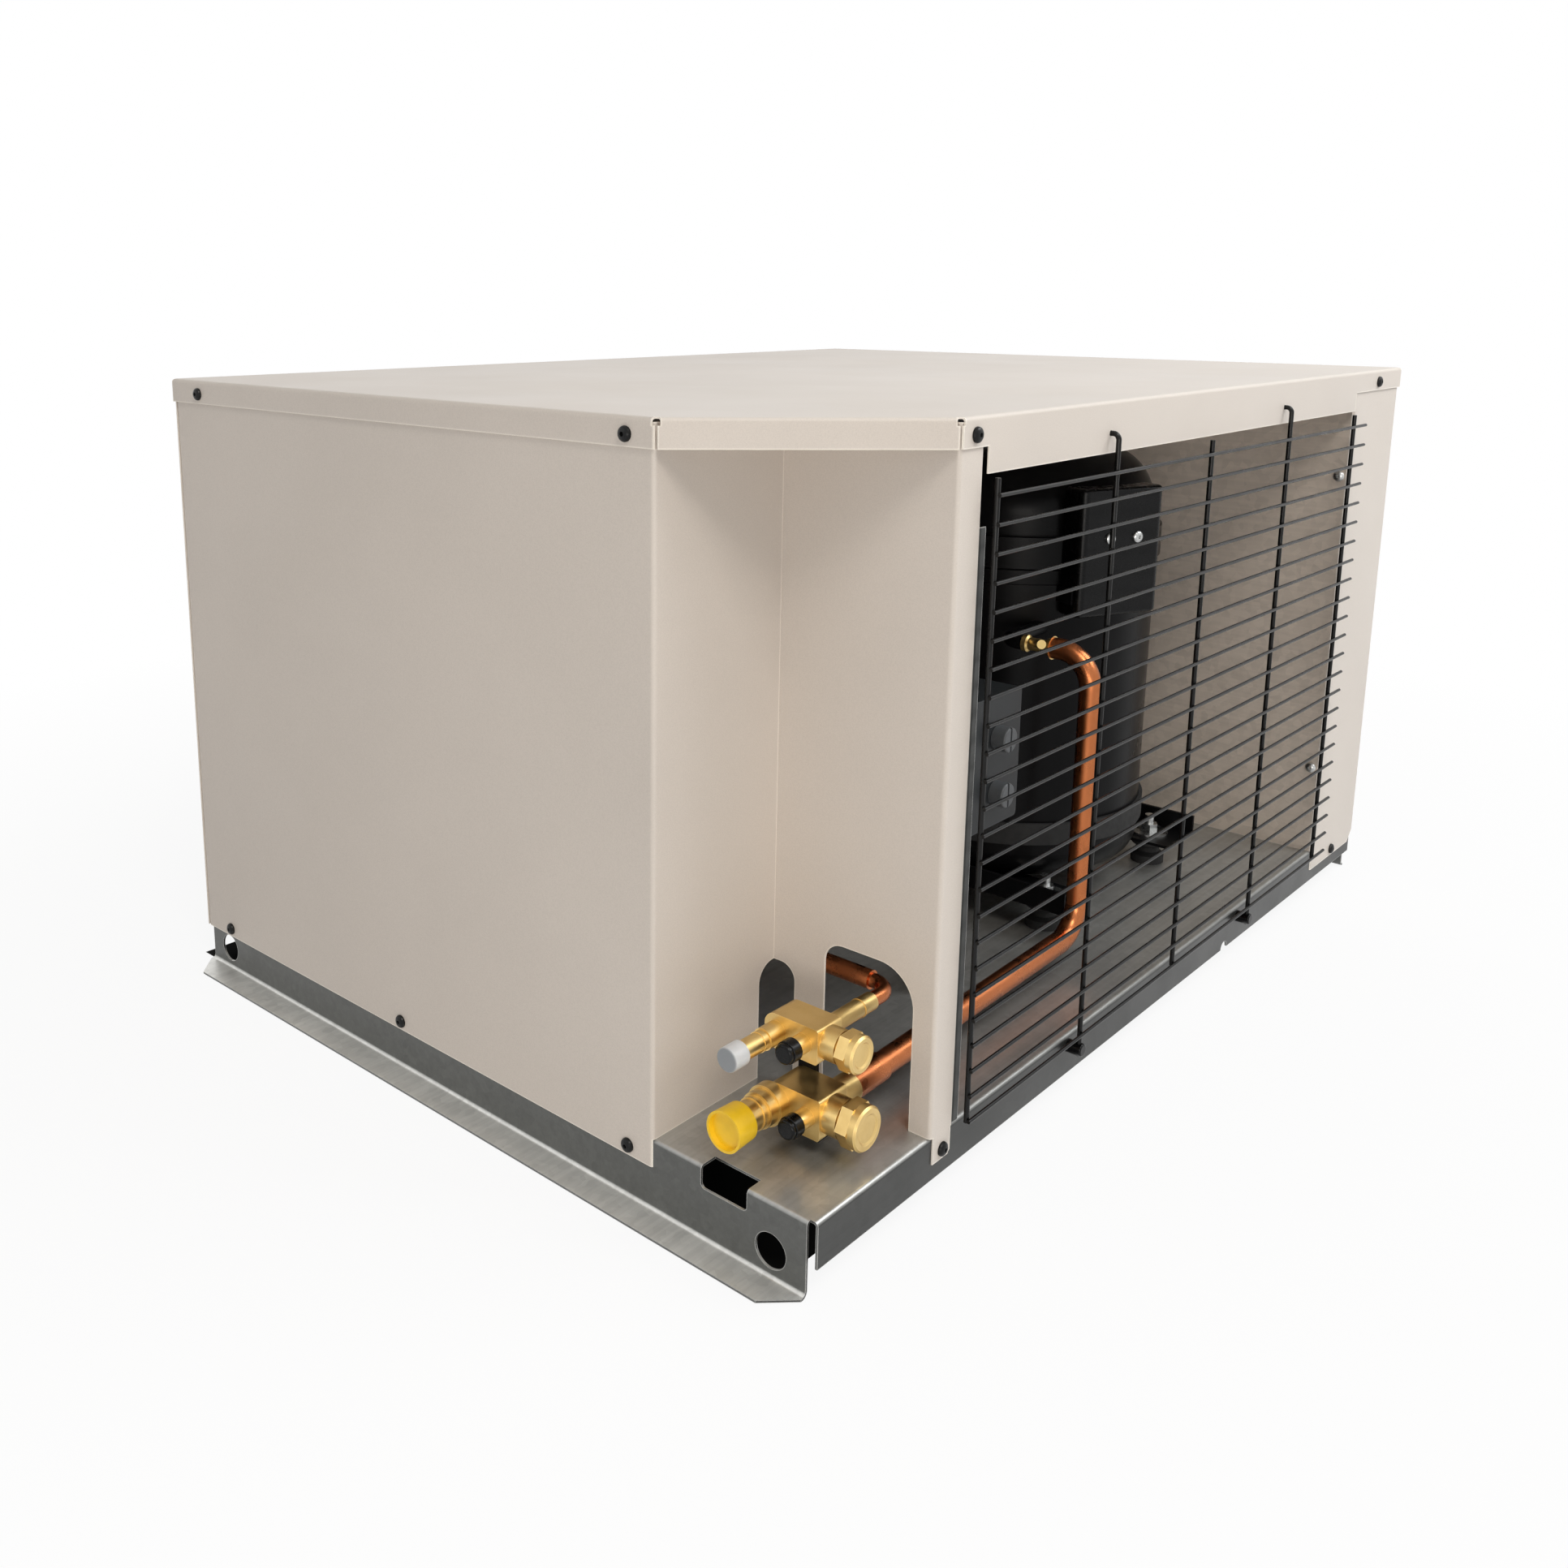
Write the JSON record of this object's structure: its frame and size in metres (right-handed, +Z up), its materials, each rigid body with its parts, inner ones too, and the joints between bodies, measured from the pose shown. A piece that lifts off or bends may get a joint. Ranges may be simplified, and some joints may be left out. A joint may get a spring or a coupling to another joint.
{
  "type": "refrigeration condensing unit",
  "caption": "Outdoor air-cooled condensing unit: sheet-metal casing on a folded base pan, hermetic compressor behind a wire guard, and capped service valves in a notched corner.",
  "frame": {"origin": "centre of the casing in plan, at the height its feet stand on", "axes": "+X to the right along the front face, +Y from the front to the rear where the coil is, +Z up"},
  "size_m": [0.6423, 0.901, 0.48],
  "materials": {
    "panel_coat": "satin warm grey-beige powder coat with a fine texture",
    "galvanised": "galvanised steel sheet, soft streaked sheen",
    "zinc_inner": "galvanised steel sheet inside the casing",
    "black_wire": "glossy black coated wire",
    "black_screw": "black coated screws",
    "zinc_screw": "bright zinc plated screws",
    "black_plastic": "smooth black plastic",
    "black_steel": "satin black paint",
    "aluminium": "plain aluminium",
    "fan_grey": "mill finish fan blade sheet",
    "copper": "drawn copper tube",
    "brass": "forged and turned brass",
    "steel": "ground steel",
    "rubber": "moulded rubber",
    "receiver_coat": "satin dark paint",
    "drier_coat": "satin blue paint",
    "yellow_plastic": "soft moulded plastic",
    "pale_plastic": "soft moulded plastic",
    "grey_plastic": "moulded plastic",
    "control_grey": "smooth grey paint"
  },
  "bodies": {
    "unit": {"base_pan": "galvanised", "lid": "panel_coat", "front_panel": "panel_coat", "valve_panel": "panel_coat", "left_panel": "panel_coat", "rear_right_post": "panel_coat", "post_stiffener": "galvanised", "wire_guard": "black_wire", "coil_guard": "black_wire", "guard_clips": "black_plastic", "casing_screws": "black_screw", "bracket_screws": "zinc_screw", "fan_shroud": "zinc_inner", "condenser_fins": "aluminium", "condenser_end_plates": "galvanised", "condenser_bends": "copper", "fan_motor": "black_steel", "motor_bracket": "steel", "compressor_lower_shell": "black_steel", "compressor_upper_shell": "black_steel", "compressor_feet": "black_steel", "mounting_grommets": "rubber", "mounting_bolts": "zinc_screw", "terminal_cover": "black_plastic", "cover_strap": "black_steel", "crankcase_heater": "rubber", "compressor_stubs": "black_steel", "suction_adapter": "brass", "suction_line": "copper", "discharge_line": "copper", "condenser_line": "copper", "liquid_line": "copper", "receiver_line": "copper", "filter_drier": "drier_coat", "drier_clamp": "galvanised", "receiver": "receiver_coat", "receiver_stand": "receiver_coat", "receiver_valve": "brass", "suction_valve_body": "brass", "liquid_valve_body": "brass", "valve_bracket": "black_steel", "control_box": "galvanised", "control_box_cover": "galvanised", "contactor": "black_plastic", "capacitors": "aluminium", "pressure_control": "control_grey", "control_bracket": "galvanised"},
    "fan": {"motor_shaft": "steel", "fan_blades": "fan_grey"},
    "suction_stem": {"suction_valve_stem": "steel"},
    "liquid_stem": {"liquid_valve_stem": "steel"},
    "suction_stem_cover": {"suction_stem_cap": "brass"},
    "liquid_stem_cover": {"liquid_stem_cap": "brass"},
    "suction_port_cover": {"suction_port_cap": "black_plastic"},
    "liquid_port_cover": {"liquid_port_cap": "black_plastic"},
    "suction_line_cover": {"suction_line_cap": "yellow_plastic"},
    "liquid_line_cover": {"liquid_line_cap": "pale_plastic"},
    "lower_knob": {"lower_control_knob": "grey_plastic"},
    "upper_knob": {"upper_control_knob": "grey_plastic"}
  },
  "joints": [
    {"name": "fan_spin", "type": "hinge", "parent": "unit", "child": "fan", "pos_m": [-0.05, 0.3275, 0.264], "axis": [0, 1, 0], "continuous": true},
    {"name": "suction_stem_turn", "type": "hinge", "parent": "unit", "child": "suction_stem", "pos_m": [0.285, -0.3635, 0.0713], "axis": [1, 0, 0], "range_deg": [0, 720]},
    {"name": "liquid_stem_turn", "type": "hinge", "parent": "unit", "child": "liquid_stem", "pos_m": [0.283, -0.3685, 0.1193], "axis": [1, 0, 0], "range_deg": [0, 720]},
    {"name": "suction_stem_cap_off", "type": "slide", "parent": "unit", "child": "suction_stem_cover", "axis": [1, 0, 0], "range_m": [0, 0.035]},
    {"name": "liquid_stem_cap_off", "type": "slide", "parent": "unit", "child": "liquid_stem_cover", "axis": [1, 0, 0], "range_m": [0, 0.035]},
    {"name": "suction_port_cap_off", "type": "slide", "parent": "unit", "child": "suction_port_cover", "axis": [0, -1, 0], "range_m": [0, 0.025]},
    {"name": "liquid_port_cap_off", "type": "slide", "parent": "unit", "child": "liquid_port_cover", "axis": [0, -1, 0], "range_m": [0, 0.025]},
    {"name": "suction_line_cap_off", "type": "slide", "parent": "unit", "child": "suction_line_cover", "axis": [0, -1, 0], "range_m": [0, 0.06]},
    {"name": "liquid_line_cap_off", "type": "slide", "parent": "unit", "child": "liquid_line_cover", "axis": [0, -1, 0], "range_m": [0, 0.06]},
    {"name": "lower_knob_turn", "type": "hinge", "parent": "unit", "child": "lower_knob", "pos_m": [0.245, -0.1375, 0.205], "axis": [1, 0, 0], "range_deg": [0, 300]},
    {"name": "upper_knob_turn", "type": "hinge", "parent": "unit", "child": "upper_knob", "pos_m": [0.245, -0.1375, 0.245], "axis": [1, 0, 0], "range_deg": [0, 300]}
  ]
}
